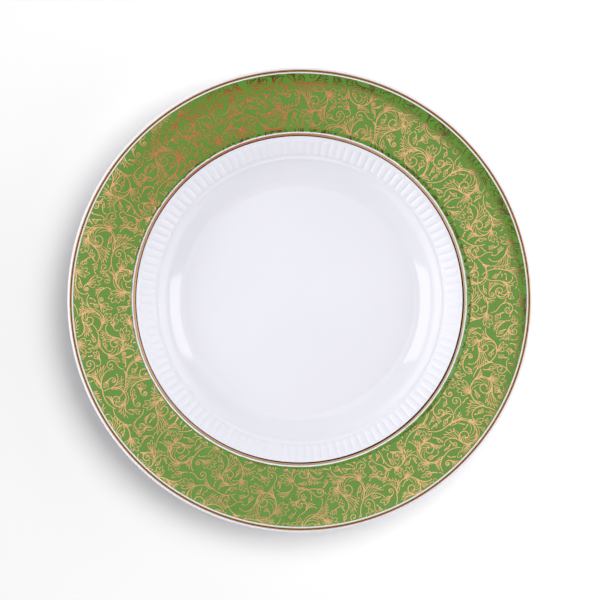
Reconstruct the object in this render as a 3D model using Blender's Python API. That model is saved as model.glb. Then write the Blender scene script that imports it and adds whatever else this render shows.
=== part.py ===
"""A rimmed china dinner plate in millimetre-true layers: a turned porcelain body, the two glaze coats
that leave its foot edge bare, a green enamel band, two gilt bands and a gilt scroll stem.

Metres, +Z up. The origin is the centre of the foot ring's resting plane, and +Z is the turning axis.
Every turned piece is cut from one outline, so the layers nest with an even gap between them.
"""

import math

import bmesh
import bpy

MM = 0.001

# Turning: every turned piece has the same facets, so nested layers never cross.
FACETS = 60

# Driving dimensions of the glazed outline, in metres.
PLATE_RADIUS = 135.0 * MM
FLOOR_RADIUS = 67.6 * MM
FLOOR_TOP = 7.0 * MM
RECESS_CEILING = 2.8 * MM

# The well's wall, which steepens on its way up, as radius and height.
WALL_FOOT = (69.8 * MM, 7.45 * MM)
WALL_LOW = (74.2 * MM, 9.2 * MM)
WALL_HIGH = (78.8 * MM, 11.5 * MM)
WALL_HEAD = (82.0 * MM, 14.0 * MM)

# The ledge above the wall, the sloping collar, its shoulder and the broad rim, as radius and height.
LEDGE_CREST = (83.1 * MM, 15.0 * MM)
COLLAR_FOOT = (84.5 * MM, 15.4 * MM)
COLLAR_HEAD = (95.3 * MM, 22.4 * MM)
SHOULDER = (97.3 * MM, 22.85 * MM)
RIM_START = (99.2 * MM, 23.5 * MM)
RIM_TURN_UP = (122.0 * MM, 26.8 * MM)
RIM_CURVE = (127.0 * MM, 27.8 * MM)
RIM_END = (131.4 * MM, 29.0 * MM)

# The rounded lip, then the underside on its way back to the foot ring.
LIP_CREST = (133.6 * MM, 29.3 * MM)
LIP_EDGE = (PLATE_RADIUS, 27.5 * MM)
LIP_UNDER = (134.2 * MM, 25.8 * MM)
UNDER_RIM = (122.2 * MM, 22.9 * MM)
UNDER_SHOULDER = (98.4 * MM, 19.6 * MM)
UNDER_COLLAR = (93.6 * MM, 17.6 * MM)
UNDER_WALL = (84.4 * MM, 10.6 * MM)
UNDER_FLOOR = (76.6 * MM, 5.6 * MM)
FOOT_ROOT = (74.0 * MM, 3.6 * MM)

# The foot ring: glaze stops above its resting edge, inside and outside.
GLAZE_STOP = 1.0 * MM
FOOT_OUTER = 73.0 * MM
FOOT_INNER = 67.6 * MM
FOOT_CHAMFER = 0.5 * MM
RECESS_ROOT = (66.9 * MM, 2.2 * MM)
RECESS_CORNER = (65.4 * MM, RECESS_CEILING)

# Layers: glaze on the body, enamel on the glaze, gilding on the enamel, each with a clear gap.
GAP = 0.3 * MM
GLAZE = 0.4 * MM
DECORATION = 0.3 * MM

# Bands on the rim, as inner and outer radius.
INNER_GILT = (95.4 * MM, 97.0 * MM)
GREEN_BAND = (98.2 * MM, 131.3 * MM)
OUTER_GILT = (132.3 * MM, 133.9 * MM)

# The gilt scroll stem that winds round the green band, and the volute in each of its bends.
STEM_WAVES = 16
STEM_STEPS = 14
STEM_MIDDLE = 114.5 * MM
STEM_REACH = 12.6 * MM
STEM_ROUNDING = 0.42
STEM_WIDTH = 1.6 * MM
VOLUTE_AT = 0.07
VOLUTE_STEPS = 7
VOLUTE_STRIDE = 3.1 * MM
VOLUTE_FIRST_TURN = math.radians(3)
VOLUTE_MORE_TURN = math.radians(8.5)
VOLUTE_TIGHTENING = 0.06
VOLUTE_SHOULDER_STEPS = 3
VOLUTE_TIP = 0.7 * MM

SMOOTH_BELOW = math.radians(32)


def clear_scene():
    for obj in list(bpy.data.objects):
        bpy.data.objects.remove(obj, do_unlink=True)


def material(name, colour, roughness, metallic=0.0):
    """A Principled material with the given linear colour."""
    made = bpy.data.materials.new(name)
    made.use_nodes = True
    shader = made.node_tree.nodes["Principled BSDF"]
    shader.inputs["Base Color"].default_value = (*colour, 1.0)
    shader.inputs["Roughness"].default_value = roughness
    shader.inputs["Metallic"].default_value = metallic
    made.diffuse_color = (*colour, 1.0)
    return made


def add_object(name, bm, look):
    """Makes the finished bmesh into a smooth-shaded object with its faces pointing out."""
    bmesh.ops.recalc_face_normals(bm, faces=bm.faces)
    mesh = bpy.data.meshes.new(name)
    bm.to_mesh(mesh)
    bm.free()
    mesh.shade_smooth()
    mesh.set_sharp_from_angle(angle=SMOOTH_BELOW)
    mesh.materials.append(look)
    obj = bpy.data.objects.new(name, mesh)
    bpy.context.scene.collection.objects.link(obj)
    return obj


def turned(name, outline, look, closed):
    """Turns an outline of (radius, height) points about the Z axis.

    An open outline starts and ends on the axis; a closed one makes a ring that stays clear of it.
    """
    bm = bmesh.new()
    verts = [bm.verts.new((radius, 0.0, height)) for radius, height in outline]
    edges = [bm.edges.new(pair) for pair in zip(verts, verts[1:])]
    if closed:
        edges.append(bm.edges.new((verts[-1], verts[0])))
    bmesh.ops.spin(
        bm,
        geom=verts + edges,
        cent=(0, 0, 0),
        axis=(0, 0, 1),
        angle=2 * math.pi,
        steps=FACETS,
        use_merge=True,
    )
    bmesh.ops.remove_doubles(bm, verts=bm.verts, dist=1e-6)
    return add_object(name, bm, look)


def top_outline():
    """The glazed upper surface, from the axis out to the lip's edge."""
    return [
        (0.0, FLOOR_TOP),
        (FLOOR_RADIUS, FLOOR_TOP),
        WALL_FOOT,
        WALL_LOW,
        WALL_HIGH,
        WALL_HEAD,
        LEDGE_CREST,
        COLLAR_FOOT,
        COLLAR_HEAD,
        SHOULDER,
        RIM_START,
        RIM_TURN_UP,
        RIM_CURVE,
        RIM_END,
        LIP_CREST,
        LIP_EDGE,
    ]


def outside_outline():
    """The glazed surface from the middle of the floor, over the lip, to the foot ring's outer side."""
    return [
        *top_outline(),
        LIP_UNDER,
        UNDER_RIM,
        UNDER_SHOULDER,
        UNDER_COLLAR,
        UNDER_WALL,
        UNDER_FLOOR,
        FOOT_ROOT,
        (FOOT_OUTER, GLAZE_STOP),
    ]


def recess_outline():
    """The glazed surface inside the foot ring, from its inner side to the axis."""
    return [(FOOT_INNER, GLAZE_STOP), RECESS_ROOT, RECESS_CORNER, (0.0, RECESS_CEILING)]


def left_normal(start, end):
    along = (end[0] - start[0], end[1] - start[1])
    length = math.hypot(*along)
    return (-along[1] / length, along[0] / length)


def offset(outline, distance):
    """Moves an open outline sideways by distance: outwards from the plate when positive."""
    normals = [left_normal(a, b) for a, b in zip(outline, outline[1:])]
    moved = []
    for index, (radius, height) in enumerate(outline):
        before = normals[max(index - 1, 0)]
        after = normals[min(index, len(normals) - 1)]
        across = (before[0] + after[0], before[1] + after[1])
        size = math.hypot(*across)
        across = (across[0] / size, across[1] / size)
        reach = distance / (across[0] * before[0] + across[1] * before[1])
        moved.append((radius + across[0] * reach, height + across[1] * reach))
    return moved


def surface_height(radius):
    """Height of the glazed upper surface at a radius."""
    for (r0, z0), (r1, z1) in zip(top_outline(), top_outline()[1:]):
        if r0 <= radius <= r1:
            return z0 + (z1 - z0) * (radius - r0) / (r1 - r0)
    raise ValueError("radius is outside the plate")


def band_outline(limits, gap, thickness):
    """A closed ring outline that lies on the upper surface between two radii."""
    inner, outer = limits
    path = [(inner, surface_height(inner))]
    path += [point for point in top_outline() if inner < point[0] < outer]
    path.append((outer, surface_height(outer)))
    return offset(path, gap + thickness) + offset(path, gap)[::-1]


def porcelain_body(look):
    """The fired body: everything under the glaze, down to the bare edge that the plate stands on."""
    skin = GLAZE + GAP
    bare_outer = FOOT_OUTER - skin
    bare_inner = FOOT_INNER + skin
    foot_edge = [
        (bare_outer, FOOT_CHAMFER),
        (bare_outer - FOOT_CHAMFER, 0.0),
        (bare_inner + FOOT_CHAMFER, 0.0),
        (bare_inner, FOOT_CHAMFER),
    ]
    outline = offset(outside_outline(), -skin) + foot_edge + offset(recess_outline(), -skin)
    return turned("porcelain_body", outline, look, closed=False)


def outer_glaze_coat(look):
    """The glaze over the top, the lip and the outside, down to just above the foot's edge."""
    outline = outside_outline() + offset(outside_outline(), -GLAZE)[::-1]
    return turned("outer_glaze_coat", outline, look, closed=False)


def foot_recess_glaze(look):
    """The separate patch of glaze inside the foot ring."""
    outline = offset(recess_outline(), -GLAZE)[::-1] + recess_outline()
    return turned("foot_recess_glaze", outline, look, closed=False)


def rim_band(name, limits, look):
    """A ring of enamel or gilding laid on the glazed rim."""
    return turned(name, band_outline(limits, GAP, DECORATION), look, closed=True)


def stem_point(turn):
    """The scroll stem's middle line at a fraction of a turn, as x and y."""
    phase = 2 * math.pi * STEM_WAVES * turn
    radius = STEM_MIDDLE + STEM_REACH * math.sin(phase)
    angle = 2 * math.pi * turn - STEM_ROUNDING * math.sin(2 * phase) / STEM_WAVES
    return radius * math.cos(angle), radius * math.sin(angle)


def stem_sides(turn):
    """The points on the left and the right of the scroll stem at a fraction of a turn."""
    step = 1e-5
    across = left_normal(stem_point(turn - step), stem_point(turn + step))
    x, y = stem_point(turn)
    half = STEM_WIDTH / 2
    return [(x + side * across[0] * half, y + side * across[1] * half) for side in (1, -1)]


def ribbon_section(bm, first, second):
    """Four new points of a flat ribbon on the green band, over two places given as x and y."""
    bottom = 2 * GAP + DECORATION
    top = bottom + DECORATION
    corners = [(first, top), (second, top), (second, bottom), (first, bottom)]
    section = []
    for (x, y), lift in corners:
        section.append(bm.verts.new((x, y, surface_height(math.hypot(x, y)) + lift)))
    return section


def join_sections(bm, here, there, leave_out=None):
    """Walls between two sections of a ribbon, without the one side that a volute grows from."""
    for corner in range(len(here)):
        beside = (corner + 1) % len(here)
        if corner != leave_out:
            bm.faces.new((here[corner], here[beside], there[beside], there[corner]))


def volute(bm, root, heading, bend):
    """A tapering curl that grows from the four points of root and turns more and more tightly."""
    x = (root[0].co.x + root[1].co.x) / 2
    y = (root[0].co.y + root[1].co.y) / 2
    wide = math.dist(root[0].co[:2], root[1].co[:2])
    lean = math.cos(heading) * (root[0].co.y - y) - math.sin(heading) * (root[0].co.x - x)
    side = math.copysign(1, lean)
    previous = root
    for step in range(1, VOLUTE_STEPS + 1):
        heading += bend * (VOLUTE_FIRST_TURN + VOLUTE_MORE_TURN * (step - 1))
        stride = VOLUTE_STRIDE * (1 - VOLUTE_TIGHTENING * step)
        x += stride * math.cos(heading)
        y += stride * math.sin(heading)
        share = min(1, step / VOLUTE_SHOULDER_STEPS)
        half = (wide * (1 - share) + STEM_WIDTH * share) / 2
        half += (VOLUTE_TIP - STEM_WIDTH) / 2 * step / VOLUTE_STEPS
        aside = (-math.sin(heading) * half * side, math.cos(heading) * half * side)
        section = ribbon_section(bm, (x + aside[0], y + aside[1]), (x - aside[0], y - aside[1]))
        join_sections(bm, previous, section)
        previous = section
    bm.faces.new(previous)


def gilt_scrollwork(look):
    """The gilt stem, closed on itself, with a volute in each bend: one flat piece on the green band."""
    bm = bmesh.new()
    count = STEM_WAVES * STEM_STEPS
    stations = [index / count for index in range(count)]
    sections = [ribbon_section(bm, *stem_sides(turn)) for turn in stations]
    lead = round(VOLUTE_AT * STEM_STEPS)
    for index, here in enumerate(sections):
        there = sections[(index + 1) % count]
        bend = {lead: 1, lead + STEM_STEPS // 2: -1}.get(index % STEM_STEPS)
        if bend is None:
            join_sections(bm, here, there)
            continue
        along = there[0].co - here[0].co
        heading = math.atan2(along.y, along.x) + bend * math.pi / 2
        if bend > 0:
            root = [here[0], there[0], there[3], here[3]]
            join_sections(bm, here, there, leave_out=3)
        else:
            root = [here[1], there[1], there[2], here[2]]
            join_sections(bm, here, there, leave_out=1)
        volute(bm, root, heading, bend)
    return add_object("gilt_scrollwork", bm, look)


def main():
    clear_scene()
    biscuit = material("biscuit_porcelain", (0.78, 0.75, 0.69), 0.65)
    glaze = material("white_glaze", (0.85, 0.85, 0.93), 0.08)
    recess_glaze = material("recess_glaze", (0.82, 0.82, 0.90), 0.12)
    enamel = material("green_enamel", (0.144, 0.314, 0.065), 0.25)
    bright_gilt = material("bright_gilt", (0.87, 0.52, 0.20), 0.18, metallic=1.0)
    inner_gilt = material("inner_gilt", (0.80, 0.47, 0.19), 0.22, metallic=1.0)
    scroll_gilt = material("scroll_gilt", (0.87, 0.46, 0.19), 0.28, metallic=1.0)
    porcelain_body(biscuit)
    outer_glaze_coat(glaze)
    foot_recess_glaze(recess_glaze)
    rim_band("green_enamel_band", GREEN_BAND, enamel)
    rim_band("inner_gilt_band", INNER_GILT, inner_gilt)
    rim_band("outer_gilt_band", OUTER_GILT, bright_gilt)
    gilt_scrollwork(scroll_gilt)


main()
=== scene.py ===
"""The china dinner plate's looks: fine meshes, materials, floor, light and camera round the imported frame."""

import math
import random
from dataclasses import dataclass

import bmesh
import bpy
import numpy as np
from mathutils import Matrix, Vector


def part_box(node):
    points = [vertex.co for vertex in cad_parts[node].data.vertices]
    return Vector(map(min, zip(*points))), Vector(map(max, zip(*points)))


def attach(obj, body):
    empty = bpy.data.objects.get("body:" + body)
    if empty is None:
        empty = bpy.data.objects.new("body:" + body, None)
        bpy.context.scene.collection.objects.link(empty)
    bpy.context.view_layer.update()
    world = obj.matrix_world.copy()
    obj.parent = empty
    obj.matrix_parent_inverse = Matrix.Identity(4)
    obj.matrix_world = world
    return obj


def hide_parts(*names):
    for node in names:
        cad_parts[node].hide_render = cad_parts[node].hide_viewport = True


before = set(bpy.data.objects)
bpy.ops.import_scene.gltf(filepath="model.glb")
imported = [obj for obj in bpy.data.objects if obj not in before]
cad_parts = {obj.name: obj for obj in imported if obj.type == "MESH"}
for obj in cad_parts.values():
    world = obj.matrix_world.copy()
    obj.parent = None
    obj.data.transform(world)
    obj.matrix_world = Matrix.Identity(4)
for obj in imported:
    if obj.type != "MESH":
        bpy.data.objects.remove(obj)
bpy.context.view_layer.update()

MM = 0.001

# ---- the plate's outline, in millimetres

PLATE_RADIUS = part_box("outer_glaze_coat")[1][0] / MM

FLOOR_HEIGHT = 7.0

# Slope of the upper surface, in degrees, at these radii. It changes evenly from one to the next.
TOP_SLOPES = (
    (0.0, 0.0), (67.4, 0.0), (69.8, 20.0), (77.4, 27.0), (80.4, 36.0), (82.2, 46.0),
    (82.9, 46.0), (83.5, 8.0), (84.2, 10.0), (85.0, 36.0), (94.6, 31.0), (95.4, 28.0),
    (95.8, 9.0), (97.2, 7.0), (97.9, 26.0), (98.9, 22.0), (100.0, 10.0), (101.0, 8.0),
    (120.0, 8.0), (126.0, 12.0), (131.5, 17.0), (132.1, 8.0), (133.7, 0.0),
)
LIP_CREST = TOP_SLOPES[-1][0]
LIP_DROP = 3.6
TABLE_STEP = 0.05

# The underside from the lip back to the foot ring, then the recess inside it, as radius and height.
UNDERSIDE = (
    (122.2, 22.9), (98.4, 19.6), (93.6, 17.6), (84.4, 10.6),
    (76.6, 5.6), (74.0, 3.6), (73.1, 1.9), (73.0, 1.0),
)
RECESS = ((67.6, 1.0), (67.4, 1.7), (66.6, 2.5), (65.2, 2.8), (60.0, 2.85), (30.0, 2.95), (0.0, 3.0))
FOOT_EDGE = ((72.75, 0.75), (72.3, 0.22), (71.5, 0.0), (69.1, 0.0), (68.3, 0.22), (67.85, 0.75))

# The glaze and what it leaves for the body under it. Depths are measured straight down, so slopes need more.
GLAZE = 0.35
BODY_SKIN = GLAZE + 0.12
GLAZE_ON_SLOPES = 1.2
BODY_ON_SLOPES = 1.25

# The collar's ribs: how many, how high and how rounded they are, and how softly they start and end.
RIBS = 123
RIB_SAMPLES = 6
RIB_HEIGHT = 0.45
RIB_DOME = 2.6
RIB_START = 85.0
RIB_END = 94.3
RIB_ROUNDING = 1.2
RIB_START_FADE = 0.9
RIB_END_FADE = 1.2

PLAIN_SEGMENTS = 360
SHARP_ANGLE = 40.0

# How far apart the upper surface's rings are, from each radius on.
RING_GAPS = (
    (66.6, 0.6), (71.4, 1.3), (81.6, 0.3), (RIB_START - 0.6, 0.4), (RIB_START + 2.6, 1.4),
    (RIB_END - 2.4, 0.4), (RIB_END + 0.4, 0.52), (101.0, 6.6), (121.0, 2.4), (130.6, 0.47),
    (LIP_CREST, 0.0),
)

# Bands as inner and outer radius. A painted dark reflection is a dark brown line painted into a gilt line's
# colour, as radius and half width.
GREEN_BAND = (97.8, 131.5)
INNER_GILT = (95.2, 96.98)
INNER_PAINTED_REFLECTION = (95.47, 0.33)
INNER_OFF_CENTRE = (-0.34, 0.42)
OUTER_GILT = (132.1, 133.65)
OUTER_PAINTED_REFLECTION = (132.85, 0.38)
SCROLL_BAND = (98.1, 131.2)

# How far each layer stands above what it lies on, and how deep its underside is sunk.
ENAMEL_RISE = 0.05
GILT_RISE = 0.07
SCROLL_RISE = 0.04
SCROLL_UNEVEN = 0.02
SUNK = 0.08
EDGE_WAVER = 0.06


def slope_at(radius):
    return np.interp(radius, [knot[0] for knot in TOP_SLOPES], [knot[1] for knot in TOP_SLOPES])


def height_table():
    """Heights of the upper surface, by adding up its slope from the middle of the floor."""
    radii = np.arange(0.0, LIP_CREST + TABLE_STEP / 2, TABLE_STEP)
    rises = np.tan(np.radians(slope_at(radii[:-1] + TABLE_STEP / 2))) * TABLE_STEP
    return radii, FLOOR_HEIGHT + np.concatenate([[0.0], np.cumsum(rises)])


TABLE_RADII, TABLE_HEIGHTS = height_table()
CREST_HEIGHT = float(TABLE_HEIGHTS[-1])


def height_at(radius):
    """Height of the glazed upper surface; past the lip's crest it falls away on an ellipse."""
    radius = np.asarray(radius, dtype=float)
    over = np.clip((radius - LIP_CREST) / (PLATE_RADIUS - LIP_CREST), 0.0, 1.0)
    fall = (LIP_DROP / 2) * (1.0 - np.sqrt(1.0 - over**2))
    return np.interp(radius, TABLE_RADII, TABLE_HEIGHTS) - fall


def spaced(start, end, gap):
    """Evenly spaced numbers from start up to, but without, end."""
    count = max(1, round((end - start) / gap))
    return [start + (end - start) * index / count for index in range(count)]


def smooth_path(points, rounds=2):
    """Rounds an outline's corners and keeps its two ends."""
    for _ in range(rounds):
        soft = [points[0]]
        for (ax, ay), (bx, by) in zip(points, points[1:]):
            soft.append((ax * 0.75 + bx * 0.25, ay * 0.75 + by * 0.25))
            soft.append((ax * 0.25 + bx * 0.75, ay * 0.25 + by * 0.75))
        soft.append(points[-1])
        points = soft
    return points


def below_top(radii, depth):
    """Points at these radii, straight below the upper surface."""
    return [(radius, float(height_at(radius)) - depth) for radius in radii]


def top_outline():
    """Points along the upper surface, close together where it bends."""
    radii = [0.0, 8.0, 25.0, 45.0, 60.0]
    for (start, gap), (end, _) in zip(RING_GAPS, RING_GAPS[1:]):
        radii += spaced(start, end, gap)
    return below_top(radii, 0.0)


def lip_outline():
    """The rounded lip, a half ellipse from its crest round to the underside."""
    points = []
    for step in range(9):
        angle = math.pi * step / 8
        radius = LIP_CREST + (PLATE_RADIUS - LIP_CREST) * math.sin(angle)
        points.append((radius, CREST_HEIGHT - LIP_DROP / 2 * (1 - math.cos(angle))))
    return points


def glazed_outline():
    """The outside of the glaze from the axis, over the lip, down to the foot ring."""
    under = smooth_path([(LIP_CREST, CREST_HEIGHT - LIP_DROP), *UNDERSIDE], 1)
    return top_outline() + lip_outline()[:-1] + under


def left_normal(start, end):
    """The unit vector to the left of the way from start to end."""
    along = (end[0] - start[0], end[1] - start[1])
    length = math.hypot(*along)
    return (-along[1] / length, along[0] / length)


def offset(outline, distance):
    """Moves an open outline sideways, outwards from the plate when distance is positive."""
    normals = [left_normal(a, b) for a, b in zip(outline, outline[1:])]
    moved = []
    for index, (radius, height) in enumerate(outline):
        before = normals[max(index - 1, 0)]
        after = normals[min(index, len(normals) - 1)]
        across = (before[0] + after[0], before[1] + after[1])
        size = math.hypot(*across)
        across = (across[0] / size, across[1] / size)
        reach = distance / (across[0] * before[0] + across[1] * before[1])
        moved.append((max(radius + across[0] * reach, 0.0), height + across[1] * reach))
    return moved


# ---- meshes

def put_in_scene(name, data):
    obj = bpy.data.objects.new(name, data)
    bpy.context.scene.collection.objects.link(obj)
    return obj


def make_object(name, points, faces, look):
    """A smooth-shaded object on the root body, from points in millimetres."""
    mesh = bpy.data.meshes.new(name)
    mesh.from_pydata(np.asarray(points) * MM, [], faces)
    mesh.validate()
    mesh.shade_smooth()
    mesh.set_sharp_from_angle(angle=math.radians(SHARP_ANGLE))
    mesh.materials.append(look)
    obj = put_in_scene(name, mesh)
    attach(obj, "root")
    return obj


def turned(name, outline, segments, look, closed=False, shape=None):
    """Turns an outline about Z. An open outline ends on the axis; shape may move the points of a ring."""
    angles = np.arange(segments) * 2 * math.pi / segments
    points = []
    rings = []
    for index, (radius, height) in enumerate(outline):
        if radius < 1e-6:
            rings.append([len(points)] * segments)
            points.append((0.0, 0.0, height))
            continue
        radii = np.full(segments, radius)
        heights = np.full(segments, height)
        if shape:
            radii, heights = shape(index, radii, heights)
        rings.append(list(range(len(points), len(points) + segments)))
        points.extend(zip(radii * np.cos(angles), radii * np.sin(angles), heights))
    faces = []
    pairs = list(zip(rings, rings[1:]))
    if closed:
        pairs.append((rings[-1], rings[0]))
    for here, there in pairs:
        for side in range(segments):
            beside = (side + 1) % segments
            corners = (here[side], there[side], there[beside], here[beside])
            face = tuple(dict.fromkeys(corners))
            if len(face) > 2:
                faces.append(face)
    return make_object(name, points, faces, look)


def rib_relief(radii):
    """How far the collar's ribs stand out, for one ring of points: pillows with narrow valleys between."""
    across = np.arange(len(radii)) % RIB_SAMPLES / RIB_SAMPLES * 2 - 1
    dome = 1 - np.abs(across) ** RIB_DOME
    start = np.clip((radii - RIB_START - RIB_ROUNDING * across**2) / RIB_START_FADE, 0, 1)
    end = np.clip((RIB_END - radii) / RIB_END_FADE, 0, 1)
    window = start**2 * (3 - 2 * start) * end**2 * (3 - 2 * end)
    return RIB_HEIGHT * dome * window


def shape_collar(count):
    """A turned() shape that raises the ribs on the first count rings of an outline."""

    def shape(index, radii, heights):
        if index >= count or not RIB_START - 1 < radii[0] < RIB_END + 1:
            return radii, heights
        lift = rib_relief(radii)
        lean = math.radians(float(slope_at(radii[0])))
        return radii - lift * math.sin(lean), heights + lift * math.cos(lean)

    return shape


def glaze_coat(look):
    """The clear glaze over body and ribs: a closed skin from the middle of the floor to the foot."""
    inside = [(0.0, FLOOR_HEIGHT - GLAZE)]
    inside += below_top((66.0, 74.0, 81.0, 84.0, 95.0), GLAZE * GLAZE_ON_SLOPES)
    inside += below_top((100.0, 124.0, 133.0), GLAZE)
    inside += [(PLATE_RADIUS - GLAZE, CREST_HEIGHT - LIP_DROP / 2)]
    inside += [(133.2, CREST_HEIGHT - LIP_DROP + GLAZE)]
    inside += [(radius - GLAZE * 0.6, height + GLAZE * 0.6) for radius, height in UNDERSIDE[:-1]]
    inside += [(UNDERSIDE[-1][0] - GLAZE, UNDERSIDE[-1][1])]
    outline = glazed_outline() + inside[::-1]
    ribbed = shape_collar(len(top_outline()))
    coat = turned("glaze_over_plate", outline, RIBS * RIB_SAMPLES, look, shape=ribbed)
    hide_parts("outer_glaze_coat")
    return coat


def porcelain(look):
    """The body under the glaze. Only its foot edge is bare, slightly rounded and ground flat."""
    skin = BODY_SKIN
    well = (66.4, 69.0, 72.0, 76.0, 80.0, 82.6, 84.6)
    rim = (88.0, 94.0, 97.0, 100.0, 112.0, 122.0, 128.0, 132.6)
    top = below_top((*well, *rim), skin * BODY_ON_SLOPES)
    lip = [(PLATE_RADIUS - skin * 1.6, CREST_HEIGHT - LIP_DROP / 2)]
    lip += [(132.8, CREST_HEIGHT - LIP_DROP + skin * BODY_ON_SLOPES)]
    under = [(radius - skin * 0.7, height + skin * 0.7) for radius, height in UNDERSIDE[:-1]]
    foot = [(72.6, 1.0), *FOOT_EDGE, (68.0, 1.0)]
    recess = [(radius + skin * 0.5 if radius else 0.0, height + skin) for radius, height in RECESS[1:]]
    outline = [(0.0, FLOOR_HEIGHT - skin), *top, *lip, *under, *foot, *recess]
    body = turned("porcelain_under_glaze", outline, PLAIN_SEGMENTS, look)
    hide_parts("porcelain_body")
    return body


def recess_glaze(look):
    """The glaze pool inside the foot ring, a shallow closed dish."""
    back = [(radius + GLAZE * 0.8 if radius else 0.0, height + GLAZE) for radius, height in RECESS[1:]]
    dish = turned("glaze_inside_foot", [*back[::-1], (67.95, 1.0), *RECESS], PLAIN_SEGMENTS, look)
    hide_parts("foot_recess_glaze")
    return dish


def band_outline(radii, rise):
    """A closed ring on the upper surface: a top that stands rise(share) proud of it, over a sunk bottom."""
    inner, outer = radii[0], radii[-1]
    path = below_top(radii, 0.0)
    lifted = []
    for (radius, height), top in zip(path, offset(path, 1.0)):
        lift = rise((radius - inner) / (outer - inner))
        lifted.append((radius + (top[0] - radius) * lift, height + (top[1] - height) * lift))
    return lifted + offset(path, -SUNK)[::-1]


def enamel_band(look):
    """The green enamel, whose inner edge wavers a little as a transfer's edge does."""
    rng = random.Random(5)
    segments = PLAIN_SEGMENTS * 2
    waver = np.array([rng.gauss(0.0, EDGE_WAVER) for _ in range(segments)])
    waver = (waver + np.roll(waver, 1) + np.roll(waver, 2)) / 2
    inner, outer = GREEN_BAND
    bend_end = inner + 3.6
    radii = spaced(inner, bend_end, 0.45) + spaced(bend_end, outer, 1.5) + [outer]
    outline = band_outline(radii, lambda share: ENAMEL_RISE)

    def shape(index, radii, heights):
        if index in (0, len(outline) - 1):
            return off_centre(index, radii + waver, heights)
        return radii, heights

    band = turned("enamel_rim_band", outline, segments, look, closed=True, shape=shape)
    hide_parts("green_enamel_band")
    return band


def off_centre(_, radii, heights):
    """A turned() shape that shifts a ring sideways, still on the surface, as banding by hand does."""
    angles = np.arange(len(radii)) * 2 * math.pi / len(radii)
    moved = radii + INNER_OFF_CENTRE[0] * np.cos(angles) + INNER_OFF_CENTRE[1] * np.sin(angles)
    return moved, heights + height_at(moved) - height_at(radii)


def gilt_line(name, node, limits, look, shape=None):
    """A burnished gilt line with a beaded top."""
    radii = spaced(*limits, 0.1) + [limits[1]]
    line = turned(name, band_outline(radii, bead), PLAIN_SEGMENTS * 2, look, closed=True, shape=shape)
    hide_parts(node)
    return line


def bead(share):
    """The rise of a low bead with rounded edges, across its width."""
    return GILT_RISE * min(1.0, 30 * share * (1 - share)) ** 0.5


# ---- the gilt scrollwork's pattern

# A tile of scrolls, leaves and tendrils that repeats across the rim like the sheet of a transfer. Lengths are
# in millimetres: CLEAR is the ground kept open beside a stroke, and STEP lies between its points.
TILE = 145.0
CELL = 0.2
SEED = 11
CLEAR = 0.64
STEP = 0.45
SHORTEST_STROKE = 1.6
PLUME_RIB_GAP = 2.4
LEAF_SPREAD = 0.2
BIG_SCROLL = 5.0
SMALLEST_LEAFY = 4.0

# The widths of each kind of stroke at its start, at its widest and at its end.
LINE = 0.38
OUTER_LINE = (0.28, 0.38, 0.28)
COMB_STROKE = (0.55, 0.38, 0.22)
EDGE_OUT = (0.3, LINE * 0.9, 0.34)
EDGE_BACK = (0.34, LINE * 0.9, 0.3)
PLUME_SPINE = (0.8, 0.52, 0.32)
PLUME_RIB = (0.6, 0.36, 0.22)
FAN_RIB = (0.7, 0.38, 0.22)
NOTCH_RIB = (0.34, 0.3, 0.22)
STALK = (0.6, LINE, 0.34)
TENDRIL = (0.5, LINE, 0.36)
RING = (LINE, LINE, LINE)


class Ground:
    """Which motif has claimed each small cell of the repeating tile."""

    def __init__(self):
        self.count = round(TILE / CELL)
        self.cells = np.zeros((self.count, self.count), dtype=np.int32)

    def owner(self, x, y):
        """The motif that holds this place, or 0."""
        return self.cells[int(y / CELL) % self.count, int(x / CELL) % self.count]

    def around(self, x, y, reach):
        """The rows and columns about a place, which run on past the tile's edges."""
        near = int(reach / CELL) + 1
        span = np.arange(-near, near + 1)
        return int(round(y / CELL)) + span, int(round(x / CELL)) + span

    def claim(self, x, y, reach, who):
        """Gives a motif the free cells within reach."""
        rows, columns = self.around(x, y, reach)
        gap_x = columns * CELL - x
        gap_y = rows * CELL - y
        inside = gap_x[None, :] ** 2 + gap_y[:, None] ** 2 < reach * reach
        wrapped = np.ix_(rows % self.count, columns % self.count)
        block = self.cells[wrapped]
        block[inside & (block == 0)] = who
        self.cells[wrapped] = block

    def is_free(self, x, y, reach):
        """True if no motif holds a cell within reach."""
        rows, columns = self.around(x, y, reach)
        away = rows - rows[len(rows) // 2]
        disc = away[None, :] ** 2 + away[:, None] ** 2 < (reach / CELL) ** 2
        return not self.cells[np.ix_(rows % self.count, columns % self.count)][disc].any()


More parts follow.
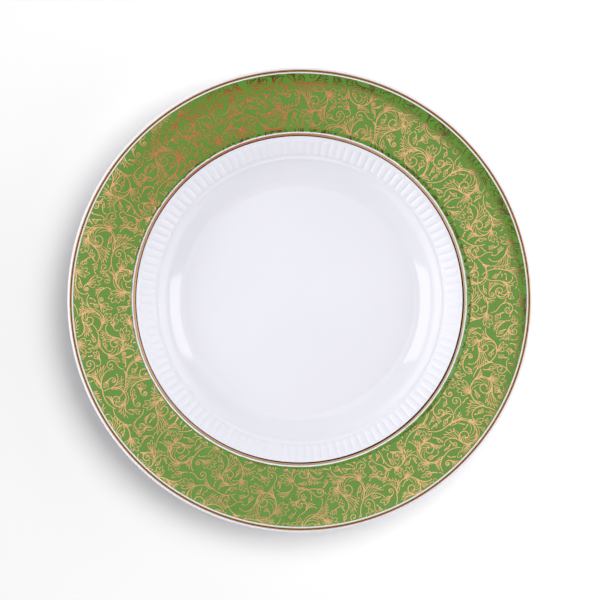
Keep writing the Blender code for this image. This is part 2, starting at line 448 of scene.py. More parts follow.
class Pattern:
    """The strokes drawn so far, as points with widths, and the ground that they cover."""

    def __init__(self, seed):
        self.random = random.Random(seed)
        self.ground = Ground()
        self.strokes = []
        self.motif = 0

    def new_motif(self):
        self.motif += 1
        return self.motif

    def draw(self, points, stroke, who, peak=0.35, end_ball=0.0):
        """Keeps a stroke that is widest at its peak, a share of its length, and may end in a ball."""
        if len(points) * STEP < SHORTEST_STROKE:
            return
        start_width, belly, end_width = stroke
        widths = []
        last = len(points) - 1
        for index in range(len(points)):
            share = index / last
            rising = share < peak
            part = share / peak if rising else (1 - share) / (1 - peak)
            low = start_width if rising else end_width
            widths.append(low + (belly - low) * math.sin(part * math.pi / 2))
        if end_ball:
            for back, swell in enumerate((0.7, 1.0, 0.8)):
                widths[last - back] = max(widths[last - back], end_ball * swell)
        self.strokes.append((points, widths))
        for (x, y), width in zip(points, widths):
            self.ground.claim(x, y, width / 2 + CLEAR, who)

    def reach(self, start, heading, wanted, own):
        """How far from start, up to wanted, the ground along heading belongs to nobody else."""
        gone = 0.0
        while gone < wanted:
            gone = min(gone + 0.25, wanted)
            x = start[0] + gone * math.cos(heading)
            y = start[1] + gone * math.sin(heading)
            owner = self.ground.owner(x, y)
            if owner and owner not in own:
                return max(gone - 0.25, 0.0)
        return wanted

    def grow(self, start, heading, bend, length, who, grace=2.2, crossed=0):
        """Walks from start, turning by bend(distance) radians per mm. Past grace it stops on taken ground,
        once it has crossed so many points of it."""
        x, y = start
        points = [(x, y)]
        walked = 0.0
        blocked = 0
        while walked < length:
            heading += bend(walked) * STEP
            x += STEP * math.cos(heading)
            y += STEP * math.sin(heading)
            walked += STEP
            owner = self.ground.owner(x, y)
            if owner and owner not in who and walked > grace:
                blocked += 1
                if blocked > crossed:
                    break
            points.append((x, y))
        return points


@dataclass
class Disc:
    """A scroll: its place and size, where its spine starts, which way and how fast it winds in."""

    x: float
    y: float
    radius: float
    start: float
    hand: int
    tighten: float
    doubled: bool
    who: int


def spiral_point(disc, theta):
    """A point on a scroll's spine, theta radians of turning in from its outer end."""
    radius = disc.radius * math.exp(-disc.tighten * theta)
    angle = disc.start + disc.hand * theta
    return disc.x + radius * math.cos(angle), disc.y + radius * math.sin(angle)


def spiral_heading(disc, theta):
    """The way a scroll's spine runs at theta, inwards."""
    here = spiral_point(disc, theta - 0.01)
    there = spiral_point(disc, theta + 0.01)
    return math.atan2(there[1] - here[1], there[0] - here[0])


def torus_gap(a, b):
    """Distance between two places on the repeating tile."""
    dx = abs(a[0] - b[0]) % TILE
    dy = abs(a[1] - b[1]) % TILE
    return math.hypot(min(dx, TILE - dx), min(dy, TILE - dy))


def place_discs(rng):
    """Places the scrolls clear of each other, the largest first. Every other one has a double outline."""
    discs = []
    sizes = ((9.2, 13), (7.8, 16), (6.6, 16), (5.4, 16), (4.2, 14), (3.2, 14))
    for radius, wanted in sizes:
        made = 0
        for _ in range(1500):
            if made >= wanted:
                break
            x = rng.uniform(0, TILE)
            y = rng.uniform(0, TILE)
            room = 4.6 if radius > BIG_SCROLL else 1.6
            if all(torus_gap((x, y), (d.x, d.y)) > radius + d.radius + room for d in discs):
                start = rng.uniform(0, 2 * math.pi)
                hand = rng.choice((-1, 1))
                tighten = rng.uniform(0.18, 0.21)
                discs.append(Disc(x, y, radius, start, hand, tighten, made % 2 == 0, who=len(discs) + 1))
                made += 1
    return discs


def draw_spine(pattern, disc):
    """The scroll's spine: in from its outer end to a small closed curl."""
    big = disc.radius > BIG_SCROLL
    turns = 2 * math.pi * (1.6 if big else 1.3)
    count = int(disc.radius * 5)
    thetas = [turns * (i / count) ** 1.1 for i in range(count + 1)]
    points = [spiral_point(disc, theta) for theta in thetas]
    heading = spiral_heading(disc, 0) + math.pi

    def bend(s):
        """Away from the scroll at first, then back round it."""
        if s < disc.radius * 1.1:
            return disc.hand * -1 / (disc.radius * (1.2 + 0.05 * s))
        return disc.hand * 0.8 / disc.radius

    grown = pattern.grow(points[0], heading, bend, disc.radius * 2.4, {disc.who}, crossed=2)
    points = grown[:0:-1] + points
    belly = LINE * (1.0 + 0.06 * disc.radius)
    ball = 1.2 if big else 0.85
    pattern.draw(points, (0.4, belly, 0.45), disc.who, peak=0.5, end_ball=ball)


def draw_outer_line(pattern, disc):
    """A second, thinner line that swings out from the spine's back and joins it again."""
    if disc.radius < SMALLEST_LEAFY or not disc.doubled:
        return
    first, last = -0.15 * math.pi, 0.95 * math.pi
    count = int(disc.radius * 3)
    points = []
    for index in range(count + 1):
        share = index / count
        theta = first + (last - first) * share
        x, y = spiral_point(disc, theta)
        heading = spiral_heading(disc, theta) - disc.hand * math.pi / 2
        swing = 1.35 * math.sin(math.pi * share) ** 0.7
        reach = pattern.reach((x, y), heading, swing, {disc.who})
        points.append((x + reach * math.cos(heading), y + reach * math.sin(heading)))
    pattern.draw(points, OUTER_LINE, disc.who, peak=0.5)


def draw_inner_comb(pattern, disc):
    """Feathered strokes that leave the spine's inner side and sweep round with it."""
    if disc.radius < SMALLEST_LEAFY:
        return
    first, last = 0.08 * math.pi, 1.15 * math.pi
    count = int(disc.radius * 0.85)
    for index in range(count):
        theta = first + (last - first) * index / max(1, count - 1)
        start = spiral_point(disc, theta)
        heading = spiral_heading(disc, theta) + disc.hand * 0.12
        local = disc.radius * math.exp(-disc.tighten * theta)
        tight = pattern.random.uniform(0.52, 0.6)
        length = local * pattern.random.uniform(0.85, 1.3)
        points = pattern.grow(
            start,
            heading,
            lambda s: disc.hand / (local * (tight + 0.1 * s / local)),
            length,
            {disc.who},
        )
        pattern.draw(points, COMB_STROKE, disc.who, peak=0.1)


def bowed(start, end, bow, gap=0.5):
    """A shallow arc from start to end that bulges to its left by bow times its length."""
    dx, dy = end[0] - start[0], end[1] - start[1]
    count = max(3, round(math.hypot(dx, dy) / gap))
    points = []
    for step in range(count + 1):
        share = step / count
        lift = 4 * bow * share * (1 - share)
        points.append((start[0] + dx * share - dy * lift, start[1] + dy * share + dx * lift))
    return points


def notches_between(ribs, far):
    """The notches in a leaf's edge: halfway between neighbouring ribs, at a share far of their length."""
    notches = []
    for rib, beside in zip(ribs, ribs[1:]):
        a = rib[int((len(rib) - 1) * far)]
        b = beside[int((len(beside) - 1) * far)]
        notches.append(((a[0] + b[0]) / 2, (a[1] + b[1]) / 2))
    return notches


def draw_plume_edge(pattern, foot, ribs, side, who):
    """A plume's jagged edge: out to the tip of each rib and back to a notch before the next."""
    notches = notches_between(ribs, 0.72)
    for start, rib, end in zip([foot, *notches], ribs, [*notches, None]):
        tip = rib[-1]
        pattern.draw(bowed(start, tip, 0.16 * side), EDGE_OUT, who, peak=0.5)
        if end:
            pattern.draw(bowed(tip, end, 0.12 * side), EDGE_BACK, who, peak=0.5)


def draw_plume(pattern, base, heading, curl, size, who):
    """An acanthus plume: a bowed spine with ribs combed off its outer side, each to a lobe of the edge."""
    side = math.copysign(1.0, curl)

    def spine_bend(s):
        return (0.3 + 1.4 * s / size) * curl / size

    spine = pattern.grow(base, heading, spine_bend, size, {who}, 1.0)
    reached = (len(spine) - 1) * STEP
    if reached < 2.4:
        return
    pattern.draw(spine, PLUME_SPINE, who, peak=0.3, end_ball=0.7)
    count = round(reached / PLUME_RIB_GAP)
    ribs = []
    for number in range(count):
        share = number / count
        spot = int(0.62 * share * (len(spine) - 1))
        root, beyond = spine[spot], spine[spot + 1]
        along = math.atan2(beyond[1] - root[1], beyond[0] - root[0])
        wanted = reached * (0.72 - 0.3 * share)
        rib = pattern.grow(
            root,
            along - side * (1.05 - 0.3 * share),
            lambda s: side * (1.5 - 0.9 * s / wanted) / wanted,
            wanted,
            {who},
            1.0,
        )
        if len(rib) * STEP > 1.8:
            ribs.append(rib)
            pattern.draw(rib[: int(len(rib) * 0.8)], PLUME_RIB, who, peak=0.06)
    if len(ribs) > 1:
        foot = ribs[0][int(len(ribs[0]) * 0.35)]
        draw_plume_edge(pattern, foot, ribs, side, who)


def draw_fan_leaf(pattern, base, heading, curl, size, lobes, who):
    """An acanthus leaf: ribs fan out from its base, each to the tip of a lobe. False if it has no room."""
    spread = LEAF_SPREAD * lobes + 0.3
    ribs = []
    for lobe in range(lobes):
        share = lobe / (lobes - 1) - 0.5
        turn = share * spread
        wanted = size * math.cos(share * 1.8) ** 0.7 * (1 - 0.5 * share * math.copysign(1, curl))
        rib = pattern.grow(
            base,
            heading + turn * 0.55,
            lambda s: (turn * 0.7 + curl * 1.6 * s / wanted) / wanted,
            wanted,
            {who},
            1.0,
        )
        ribs.append(rib)
    lengths = [len(rib) * STEP for rib in ribs]
    if min(lengths) < SHORTEST_STROKE or max(lengths) < 2.8:
        return False
    notches = notches_between(ribs, 0.76)
    right_foot = ribs[0][max(1, int(len(ribs[0]) * 0.3))]
    left_foot = ribs[-1][max(1, int(len(ribs[-1]) * 0.3))]
    inward = [right_foot, *notches]
    onward = [*notches, left_foot]
    for lobe, rib in enumerate(ribs):
        tip = rib[-1]
        pattern.draw(bowed(inward[lobe], tip, -0.16), EDGE_OUT, who, peak=0.5)
        pattern.draw(bowed(tip, onward[lobe], -0.14), EDGE_BACK, who, peak=0.5)
        if lengths[lobe] > 3.0:
            pattern.draw(rib[: int(len(rib) * 0.74)], FAN_RIB, who, peak=0.06)
    if size > 6.5:
        for rib, notch in zip(ribs, notches):
            root = rib[int(len(rib) * 0.25)]
            end = (root[0] + (notch[0] - root[0]) * 0.8, root[1] + (notch[1] - root[1]) * 0.8)
            pattern.draw(bowed(root, end, 0.04), NOTCH_RIB, who, peak=0.1)
    return True


def draw_outer_leaves(pattern, disc):
    """Plumes and fan leaves in turn along the spine's outer side."""
    if disc.radius < SMALLEST_LEAFY:
        return
    rng = pattern.random
    away = -disc.hand
    spots = (-0.25, 0.1, 0.5, 0.85, 1.25) if disc.radius > 6 else (-0.1, 0.35, 0.8)
    for number, spot in enumerate(spots):
        theta = spot * math.pi + rng.uniform(-0.1, 0.1)
        base = spiral_point(disc, theta)
        if number % 2:
            heading = spiral_heading(disc, theta) + away * rng.uniform(0.4, 0.6)
            size = disc.radius * rng.uniform(0.95, 1.2)
            curl = away * rng.uniform(0.7, 1.2)
            lobes = max(3, min(6, round(size * 0.46)))
            draw_fan_leaf(pattern, base, heading, curl, size, lobes, disc.who)
        else:
            heading = spiral_heading(disc, theta) + away * rng.uniform(0.1, 0.3)
            curl = away * rng.uniform(1.6, 2.4)
            size = disc.radius * rng.uniform(1.3, 1.7)
            draw_plume(pattern, base, heading, curl, size, disc.who)


def draw_ring(pattern, x, y, radius):
    """A small open ring."""
    who = pattern.new_motif()
    angles = [2 * math.pi * i / 14 for i in range(15)]
    points = [(x + radius * math.cos(a), y + radius * math.sin(a)) for a in angles]
    pattern.draw(points, RING, who)


def draw_free_leaf(pattern, x, y, size):
    """A small acanthus leaf on a curled stalk, laid where the ground is still open."""
    rng = pattern.random
    who = pattern.new_motif()
    best = None
    for _ in range(8):
        heading = rng.uniform(0, 2 * math.pi)
        bend = rng.choice((-1, 1)) * rng.uniform(0.07, 0.18)
        reach = len(pattern.grow((x, y), heading, lambda s: bend, size * 1.6, {who}, grace=0.0))
        if best is None or reach > best[0]:
            best = (reach, heading, bend)
    _, heading, bend = best
    if size > 3.8 and rng.random() < 0.6:
        draw_plume(pattern, (x, y), heading, math.copysign(2.0, bend), size * 2.0, who)
    elif not draw_fan_leaf(pattern, (x, y), heading, bend * 7, size * 1.5, max(3, round(size * 0.6)), who):
        return

    def stalk_bend(s):
        return -bend * 2 - math.copysign(0.1, bend) * s

    points = pattern.grow((x, y), heading + math.pi, stalk_bend, size * 2.6, {who}, grace=0.0)
    pattern.draw(points, STALK, who, peak=0.2, end_ball=0.8)


def draw_tendril(pattern, x, y, size):
    """A small S that winds to a ball at both ends."""
    rng = pattern.random
    who = pattern.new_motif()
    hand = rng.choice((-1, 1))
    heading = rng.uniform(0, 2 * math.pi)

    def bend(s):
        return hand * (0.15 + 0.2 * s)

    for way in (0, math.pi):
        points = pattern.grow((x, y), heading + way, bend, size * 2.2, {who}, grace=0.0)
        pattern.draw(points, TENDRIL, who, peak=0.2, end_ball=0.75)


def open_places(pattern, tries, reach):
    """Random places on the tile, out of so many tries, that are free within reach when their turn comes."""
    for _ in range(tries):
        x = pattern.random.uniform(0, TILE)
        y = pattern.random.uniform(0, TILE)
        if pattern.ground.is_free(x, y, reach):
            yield x, y


def fill_ground(pattern):
    """Fills what the scrolls leave open with ever smaller leaves, then tendrils, then rings."""
    for size, tries in ((6.4, 2500), (5.0, 3000), (3.8, 3500), (2.7, 4500)):
        for x, y in open_places(pattern, tries, size * 0.45):
            draw_free_leaf(pattern, x, y, size)
    for x, y in open_places(pattern, 6000, 1.3):
        draw_tendril(pattern, x, y, 1.3)
    for x, y in open_places(pattern, 5000, 0.95):
        draw_ring(pattern, x, y, 0.7)


def make_pattern():
    """The whole tile. The order of these steps settles which motif gets the ground."""
    pattern = Pattern(SEED)
    discs = place_discs(pattern.random)
    pattern.motif = len(discs)
    for draw in (draw_spine, draw_outer_line, draw_inner_comb, draw_outer_leaves):
        for disc in discs:
            draw(pattern, disc)
    fill_ground(pattern)
    return pattern


# ---- laying the scrollwork on the rim

# A stroke keeps a station at each bend over BEND_KEPT radians, and otherwise the first one past STATION_GAP
# millimetres. A run no longer than SHORTEST_RUN is left out.
BEND_KEPT = 0.28
STATION_GAP = 0.8
SHORTEST_RUN = 0.3


def thinned(points, widths):
    """Drops every other station where a stroke runs nearly straight."""
    kept = [0]
    for index in range(1, len(points) - 1):
        (ax, ay), (bx, by), (cx, cy) = points[kept[-1]], points[index], points[index + 1]
        turn = math.atan2(by - ay, bx - ax) - math.atan2(cy - by, cx - bx)
        turn = abs((turn + math.pi) % (2 * math.pi) - math.pi)
        if turn > BEND_KEPT or math.dist((ax, ay), (bx, by)) > STATION_GAP:
            kept.append(index)
    kept.append(len(points) - 1)
    return [points[index] for index in kept], [widths[index] for index in kept]


def runs_on_band(points, widths):
    """Cuts a stroke into the stretches that lie on the green band, with their ends on its edges."""
    low, high = SCROLL_BAND
    run = []
    before = None
    for (x, y), width in zip(points, widths):
        radius = math.hypot(x, y)
        inside = low <= radius <= high
        if before and inside != before[3]:
            px, py, past_width, _ = before
            past = math.hypot(px, py)
            edge = low if min(radius, past) < low else high
            share = (edge - past) / (radius - past)
            edge_width = past_width + (width - past_width) * share
            run.append((px + (x - px) * share, py + (y - py) * share, edge_width))
            if before[3]:
                yield run
                run = []
        if inside:
            run.append((x, y, width))
        before = (x, y, width, inside)
    yield run


def ribbon(run, lift, points, faces):
    """Adds one stroke as a closed strip: flat on top, with its underside sunk to a keel in the enamel."""
    first = len(points)
    last = len(run) - 1
    for index, (x, y, width) in enumerate(run):
        ax, ay, _ = run[max(index - 1, 0)]
        bx, by, _ = run[min(index + 1, last)]
        length = math.hypot(bx - ax, by - ay)
        across = (-(by - ay) / length * width / 2, (bx - ax) / length * width / 2)
        points.append((x + across[0], y + across[1], lift))
        points.append((x - across[0], y - across[1], lift))
        points.append((x, y, -SUNK))
    for index in range(last):
        left, right, keel = (first + 3 * index + side for side in range(3))
        faces.append((left, right, right + 3, left + 3))
        faces.append((right, keel, keel + 3, right + 3))
        faces.append((keel, left, left + 3, keel + 3))
    faces.append((first, first + 2, first + 1))
    faces.append((first + 3 * last, first + 3 * last + 1, first + 3 * last + 2))


def scrollwork(look):
    """The pattern's strokes, repeated over the rim and pressed down on to its curve."""
    rng = random.Random(3)
    points = []
    faces = []
    tiles = range(-1, 1)
    for stroke, widths in make_pattern().strokes:
        stroke, widths = thinned(stroke, widths)
        lift = ENAMEL_RISE + SCROLL_RISE + rng.uniform(0.0, SCROLL_UNEVEN)
        for shift_x, shift_y in ((a * TILE, b * TILE) for a in tiles for b in tiles):
            placed = [(x + shift_x, y + shift_y) for x, y in stroke]
            for run in runs_on_band(placed, widths):
                if len(run) > 2 and math.dist(run[0][:2], run[-1][:2]) > SHORTEST_RUN:
                    ribbon(run, lift, points, faces)
    laid = np.array(points)
    laid[:, 2] += height_at(np.hypot(laid[:, 0], laid[:, 1]))
    work = make_object("gilt_scrolls", laid, faces, look)
    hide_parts("gilt_scrollwork")
    return work


# ---- materials

def srgb(red, green, blue):
    """A linear colour from display values of 0 to 255."""
    def linear(value):
        value /= 255
        return value / 12.92 if value <= 0.04045 else ((value + 0.055) / 1.055) ** 2.4

    return (linear(red), linear(green), linear(blue), 1.0)


# Painted dark reflection: a dark brown ring painted into the gilt lines' colour, standing for the dark room
# that their sloped sides reflect.
PAINTED_REFLECTION_BROWN = srgb(66, 36, 18)
PAINTED_REFLECTION_CORE = 0.6


def node_adder(tree):
    """A function that adds a node with its inputs linked or set."""

    def add(kind, inputs=None, **settings):
        node = tree.nodes.new(kind)
        for key, value in settings.items():
            setattr(node, key, value)
        for key, value in (inputs or {}).items():
            if isinstance(value, bpy.types.NodeSocket):
                tree.links.new(value, node.inputs[key])
            else:
                node.inputs[key].default_value = value
        return node

    return add


def new_material(name):
    """A material, its Principled shader, a node adder, a function that links to the shader, and the place on
    the object that is shaded."""
    made = bpy.data.materials.new(name)
    made.use_nodes = True
    tree = made.node_tree
    shader = tree.nodes["Principled BSDF"]

    def join(source, target):
        tree.links.new(source, shader.inputs[target])

    add = node_adder(tree)
    return made, shader, add, join, add("ShaderNodeTexCoord").outputs["Object"]


def mixed(add, share, first, second):
    """A colour between first and second, each a colour or a socket."""
    node = add("ShaderNodeMix", data_type="RGBA")
    tree = node.id_data
    tree.links.new(share, node.inputs["Factor"])
    for key, value in (("A", first), ("B", second)):
        socket = [s for s in node.inputs if s.name == key and s.type == "RGBA"][0]
        if isinstance(value, bpy.types.NodeSocket):
            tree.links.new(value, socket)
        else:
            socket.default_value = value
    return [s for s in node.outputs if s.type == "RGBA"][0]


def ramp(add, source, low, high, to_low=0.0, to_high=1.0):
    """Maps low to to_low and high to to_high, evenly between and clamped outside."""
    node = add(
        "ShaderNodeMapRange",
        {"Value": source, "From Min": low, "From Max": high, "To Min": to_low, "To Max": to_high},
    )
    return node.outputs["Result"]


def noise(add, place, scale, detail=3.0, rough=0.5):
    node = add("ShaderNodeTexNoise", {"Vector": place, "Scale": scale, "Detail": detail, "Roughness": rough})
    return node.outputs["Fac"]


def bumped(add, join, height, distance, strength=1.0):
    node = add("ShaderNodeBump", {"Height": height, "Distance": distance, "Strength": strength})
    join(node.outputs["Normal"], "Normal")


def glaze_material(name, tint, deep, pool_scale):
    """Glossy white glaze: a faint cloudiness, a soft orange-peel surface and a few tiny specks."""
    made, shader, add, join, place = new_material(name)
    cloud = ramp(add, noise(add, place, pool_scale), 0.35, 0.65)
    base = mixed(add, cloud, tint, deep)
    specks = add("ShaderNodeTexVoronoi", {"Vector": place, "Scale": 130.0})
    dot = ramp(add, specks.outputs["Distance"], 0.028, 0.018)
    rare = ramp(add, specks.outputs["Color"], 0.93, 0.94)
    both = add("ShaderNodeMath", {0: dot, 1: rare}, operation="MULTIPLY").outputs[0]
    faint = add("ShaderNodeMath", {0: both, 1: 0.22}, operation="MULTIPLY").outputs[0]
    join(mixed(add, faint, base, srgb(150, 138, 122)), "Base Color")
    join(ramp(add, noise(add, place, 60.0), 0.3, 0.7, 0.05, 0.1), "Roughness")
    shader.inputs["IOR"].default_value = 1.5
    bumped(add, join, noise(add, place, 45.0, 2.0), 0.00002, 0.5)
    return made


def biscuit_material():
    """Matt fired clay, a little grey from standing on tables."""
    made, _, add, join, place = new_material("biscuit_porcelain")
    grain = noise(add, place, 900.0, 4.0, 0.7)
    stain = ramp(add, noise(add, place, 70.0), 0.4, 0.7)
    join(mixed(add, stain, srgb(222, 216, 205), srgb(196, 188, 175)), "Base Color")
    join(ramp(add, grain, 0.3, 0.7, 0.6, 0.85), "Roughness")
    bumped(add, join, grain, 0.00008, 0.8)
    return made


def enamel_material():
    """Green overglaze enamel: a fine printed stipple, a little mottling and an even gloss."""
    made, _, add, join, place = new_material("green_enamel")
    mottle = ramp(add, noise(add, place, 55.0, 4.0), 0.35, 0.65)
    stipple = ramp(add, noise(add, place, 1500.0, 2.0, 0.6), 0.35, 0.65)
    base = mixed(add, mottle, srgb(92, 136, 48), srgb(85, 129, 43))
    join(mixed(add, stipple, base, srgb(96, 140, 54)), "Base Color")
    join(ramp(add, stipple, 0.0, 1.0, 0.16, 0.24), "Roughness")
    bumped(add, join, stipple, 0.000012, 0.5)
    return made


def gilt_material(name, colour, worn, roughness, painted_reflection=None, middle=(0.0, 0.0)):
    """Fired gold: warm metal, slightly uneven in burnish. A painted dark reflection runs round middle as a
    dark brown line in its colour.
    """
    made, shader, add, join, place = new_material(name)
    patch = ramp(add, noise(add, place, 120.0, 3.0), 0.3, 0.7)
    base = mixed(add, patch, colour, worn)
    if painted_reflection:
        centre = (*(part * MM for part in middle), 0.0)
        from_middle = add("ShaderNodeVectorMath", {0: place, 1: centre}, operation="SUBTRACT")
        x, y, _ = add("ShaderNodeSeparateXYZ", {"Vector": from_middle.outputs["Vector"]}).outputs[:3]
        flat = add("ShaderNodeCombineXYZ", {"X": x, "Y": y}).outputs[0]
        radius = add("ShaderNodeVectorMath", {0: flat}, operation="LENGTH").outputs["Value"]
        away = add("ShaderNodeMath", {0: radius, 1: painted_reflection[0] * MM}, operation="SUBTRACT").outputs[0]
        away = add("ShaderNodeMath", {0: away}, operation="ABSOLUTE").outputs[0]
        # Painted dark reflection: the base colour turns dark brown within the ring's half width round middle.
        in_painted_reflection = ramp(add, away, painted_reflection[1] * MM, painted_reflection[1] * MM * PAINTED_REFLECTION_CORE)
        base = mixed(add, in_painted_reflection, base, PAINTED_REFLECTION_BROWN)
    join(base, "Base Color")
    shader.inputs["Metallic"].default_value = 1.0
    grain = noise(add, place, 700.0, 3.0, 0.6)
    join(ramp(add, grain, 0.3, 0.7, *roughness), "Roughness")
    bumped(add, join, grain, 0.00001, 0.5)
    return made


# ---- floor, light and camera

# The camera: its lens and sensor in millimetres, and in metres the width that it sees at the rim's height.
CAMERA_LENS = 100.0
SENSOR_WIDTH = 36.0
VIEW_WIDTH = 0.3477
CLIP_END = 40.0
RIM_HEIGHT = CREST_HEIGHT * MM
FLOOR_REACH = 4.0
FLOOR_FADE = (0.5, 1.3)
BACKDROP_RADIUS = 9.0

# The ceiling, in tangents of the angle off the vertical. A spot is its middle, east and north, how much it is
# squeezed from east to west, its reach and its soft edge. First the pale panel, cut off by a wide disc.
PANEL_SPOT = ((0.18, 0.18), 1.0, 0.59, 0.05)
PANEL_LEVEL = 0.98
EDGE_SPOT = ((0.484, 0.484), 1.0, 0.965, 0.025)

# A dimmer spot in the panel, a reddish one, and a faint ring that shows where the panel doesn't.
DIM_SPOT = ((0.07, 0.27), 1.5, 0.2, 0.08)
DIM_LEVEL = 0.58
WARM_SPOT = ((0.1, -0.28), 1.3, 0.215, 0.06)
WARM_COLOUR = (0.49, 0.205, 0.15, 1.0)
RING_INNER = 0.33
RING_OUTER = 0.55
RING_SOFT = 0.04
RING_LEVEL = 0.1

# Brightness of the left and right, of the gap above them and of the wall, and the heights of their edges.
# LOWEST_UP keeps the ceiling's tangents finite towards the horizon.
SIDE_LEVELS = (1.65, 1.75)
GAP_LEVEL = 0.08
WALL_LEVEL = 0.5
SIDE_HEIGHTS = (0.6, 0.4)
GAP_HEIGHTS = (0.55, 0.25)
LOWEST_UP = 0.02


def stage_floor():
    """A plain pale floor under the foot ring, clear from its underside and fading out far from the plate."""
    made, shader, add, join, place = new_material("studio_floor")
    pale = mixed(add, noise(add, place, 3.0), (0.89, 0.89, 0.89, 1), (0.91, 0.91, 0.91, 1))
    join(pale, "Base Color")
    shader.inputs["Roughness"].default_value = 0.9
    shader.inputs["Specular IOR Level"].default_value = 0.0
    tree = made.node_tree
    seen_from_below = add("ShaderNodeNewGeometry").outputs["Backfacing"]
    distance = add("ShaderNodeVectorMath", {0: place}, operation="LENGTH").outputs["Value"]
    faded = ramp(add, distance, *FLOOR_FADE)
    unseen = add("ShaderNodeMath", {0: seen_from_below, 1: faded}, operation="MAXIMUM").outputs[0]
    clear = add("ShaderNodeBsdfTransparent").outputs["BSDF"]
    mix = add("ShaderNodeMixShader", {"Fac": unseen, 1: shader.outputs["BSDF"], 2: clear})
    tree.links.new(mix.outputs[0], tree.nodes["Material Output"].inputs["Surface"])
    mesh = bpy.data.meshes.new("studio_floor")
    reach = FLOOR_REACH
    corners = [(-reach, -reach, 0), (reach, -reach, 0), (reach, reach, 0), (-reach, reach, 0)]
    mesh.from_pydata(corners, [], [(0, 1, 2, 3)])
    mesh.materials.append(made)
    floor = put_in_scene("studio_floor", mesh)
    return floor


def backdrop():
    """A pale surround that only the camera sees, behind the floor and in views from below."""
    made, shader, add, join, place = new_material("studio_backdrop")
    pale = mixed(add, noise(add, place, 0.2), (0.93, 0.93, 0.93, 1), (0.96, 0.96, 0.96, 1))
    join(pale, "Emission Color")
    shader.inputs["Emission Strength"].default_value = 1.0
    shader.inputs["Base Color"].default_value = (0.0, 0.0, 0.0, 1.0)
    shader.inputs["Specular IOR Level"].default_value = 0.0
    mesh = bpy.data.meshes.new("studio_backdrop")
    ball = bmesh.new()
    bmesh.ops.create_icosphere(ball, subdivisions=4, radius=BACKDROP_RADIUS)
    bmesh.ops.reverse_faces(ball, faces=ball.faces)
    ball.to_mesh(mesh)
    ball.free()
    mesh.materials.append(made)
    surround = put_in_scene("studio_backdrop", mesh)
    for ray in ("diffuse", "glossy", "transmission", "volume_scatter", "shadow"):
        setattr(surround, "visible_" + ray, False)


def softbox(name, azimuth, polar, distance, size, power, lit, reflected=False, shading=None):
    """A rectangular area light, by azimuth and angle off the vertical, that lights one collection. If a
    shading collection is given, only its objects cast shadows."""
    data = bpy.data.lights.new(name, "AREA")
    data.shape = "RECTANGLE"
    data.size, data.size_y = size
    data.energy = power
    light = put_in_scene(name, data)
    a, p = math.radians(azimuth), math.radians(polar)
    light.location = (
        distance * math.sin(p) * math.cos(a),
        distance * math.sin(p) * math.sin(a),
        distance * math.cos(p),
    )
    light.rotation_euler = (0, p, a)
    light.visible_glossy = reflected
    light.visible_camera = False
    light.light_linking.receiver_collection = lit
    light.light_linking.blocker_collection = shading


def lit_together(name, *objects):
    """A collection that a light can be limited to."""
    collection = bpy.data.collections.new(name)
    for obj in objects:
        collection.objects.link(obj)
    return collection


def studio_world():
    """The studio round the plate: a ceiling panel with spots and a ring, a darker gap, and brighter walls."""
    world = bpy.data.worlds.new("studio")
    world.use_nodes = True
    tree = world.node_tree
    background = tree.nodes["Background"]
    add = node_adder(tree)

    def calc(operation, first, second=0.0):
        return add("ShaderNodeMath", {0: first, 1: second}, operation=operation).outputs[0]

    def times(first, second):
        return calc("MULTIPLY", first, second)

    direction = add("ShaderNodeTexCoord").outputs["Generated"]
    x, y, z = add("ShaderNodeSeparateXYZ", {"Vector": direction}).outputs[:3]
    up = calc("MAXIMUM", z, LOWEST_UP)
    east = calc("DIVIDE", x, up)
    north = calc("DIVIDE", y, up)

    def away_from(middle, squeeze=1.0):
        """Distance on the ceiling from a spot's middle."""
        across = times(calc("SUBTRACT", east, middle[0]), squeeze)
        along = calc("SUBTRACT", north, middle[1])
        return calc("SQRT", calc("ADD", times(across, across), times(along, along)))

    def within(away, reach, soft, outside=0.0, inside=1.0):
        """From inside, nearer than reach, to outside, over an edge that is soft to both sides."""
        return ramp(add, away, reach + soft, reach - soft, outside, inside)

    def on_spot(spot, outside=0.0, inside=1.0):
        middle, squeeze, reach, soft = spot
        return within(away_from(middle, squeeze), reach, soft, outside, inside)

    panel = times(on_spot(PANEL_SPOT, 0.0, PANEL_LEVEL), on_spot(EDGE_SPOT))
    panel = times(panel, on_spot(DIM_SPOT, 1.0, DIM_LEVEL))
    warm = on_spot(WARM_SPOT)
    off_vertical = away_from((0.0, 0.0))
    past_inner = ramp(add, off_vertical, RING_INNER - RING_SOFT, RING_INNER + RING_SOFT, 0.0, RING_LEVEL)
    ring = times(past_inner, within(off_vertical, RING_OUTER, RING_SOFT))
    flat_part = calc("SQRT", calc("MAXIMUM", calc("SUBTRACT", 1.0, times(z, z)), 0.0001))
    sideways = calc("DIVIDE", x, flat_part)
    lobes = times(times(sideways, sideways), ramp(add, sideways, -1.0, 1.0, *SIDE_LEVELS))
    sides = times(lobes, ramp(add, z, *SIDE_HEIGHTS))
    gap = ramp(add, z, *GAP_HEIGHTS, GAP_LEVEL, WALL_LEVEL)
    strength = calc("MAXIMUM", calc("MAXIMUM", panel, ring), calc("ADD", sides, gap))
    tree.links.new(strength, background.inputs["Strength"])
    tree.links.new(mixed(add, warm, (1, 1, 1, 1), WARM_COLOUR), background.inputs["Color"])
    bpy.context.scene.world = world


def stage_camera():
    """A camera straight above the plate."""
    data = bpy.data.cameras.new("camera")
    data.lens = CAMERA_LENS
    data.sensor_width = SENSOR_WIDTH
    data.clip_end = CLIP_END
    camera = put_in_scene("camera", data)
    distance = VIEW_WIDTH * CAMERA_LENS / SENSOR_WIDTH
    camera.location = (0.0, 0.0, RIM_HEIGHT + distance)
    bpy.context.scene.camera = camera


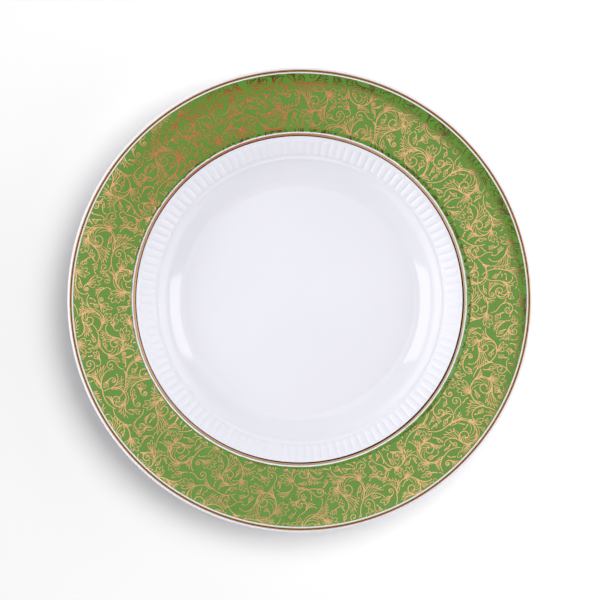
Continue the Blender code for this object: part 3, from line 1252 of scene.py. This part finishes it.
def make_plate():
    """The plate's seven pieces, with the two that the foot shows first."""
    white = glaze_material("fired_white_glaze", srgb(230, 230, 239), srgb(228, 228, 237), 14.0)
    under = glaze_material("fired_recess_glaze", srgb(228, 228, 237), srgb(222, 222, 231), 20.0)
    gilt = gilt_material("bright_gilt", srgb(248, 199, 143), srgb(242, 191, 134), (0.12, 0.2))
    duller = (0.14, 0.22)
    inner_tints = (srgb(222, 183, 146), srgb(213, 172, 133))
    inner_gold = gilt_material("inner_line_gilt", *inner_tints, duller, INNER_PAINTED_REFLECTION, INNER_OFF_CENTRE)
    outer_tints = (srgb(236, 194, 146), srgb(227, 183, 134))
    outer_gold = gilt_material("outer_line_gilt", *outer_tints, duller, OUTER_PAINTED_REFLECTION)
    foot = [porcelain(biscuit_material()), recess_glaze(under)]
    rest = [
        glaze_coat(white),
        enamel_band(enamel_material()),
        gilt_line("inner_gilt_line", "inner_gilt_band", INNER_GILT, inner_gold, off_centre),
        gilt_line("outer_gilt_line", "outer_gilt_band", OUTER_GILT, outer_gold),
        scrollwork(gilt),
    ]
    return foot, [*foot, *rest]


def light_studio(foot, plate, floor):
    """Lamps on the china, the whole plate, the floor and the foot. Only the two softboxes are reflected. Each
    lamp's numbers are its azimuth, its angle off the vertical, its distance, its size and its power."""
    on_plate = lit_together("lit_plate", *plate)
    on_china = lit_together("lit_china", *(piece for piece in plate if "gilt" not in piece.name))
    on_floor = lit_together("lit_floor", floor)
    on_foot = lit_together("lit_foot", *foot)
    softbox("left_softbox", 173.5, 39, 1.3, (0.38, 0.68), 2.35, on_china, reflected=True)
    softbox("right_softbox", 8, 41, 1.3, (0.28, 0.58), 1.8, on_china, reflected=True)
    softbox("left_fill", 180, 58, 1.6, (0.8, 0.8), 10.3, on_plate)
    softbox("right_fill", 0, 55, 1.6, (0.8, 0.8), 5.2, on_plate)
    softbox("top_fill", 80, 12, 1.8, (1.4, 1.4), 3.0, on_plate)
    softbox("floor_key", 31, 28.5, 1.8, (1.0, 1.5), 23.3, on_floor)
    softbox("floor_fill", 0, 0, 2.6, (2.4, 2.4), 4.6, on_floor)
    softbox("foot_fill", 0, 180, 1.0, (0.8, 0.8), 5.0, on_foot, shading=on_plate)


def main():
    foot, plate = make_plate()
    light_studio(foot, plate, stage_floor())
    backdrop()
    studio_world()
    stage_camera()
    bpy.context.scene.view_settings.view_transform = "Standard"


main()
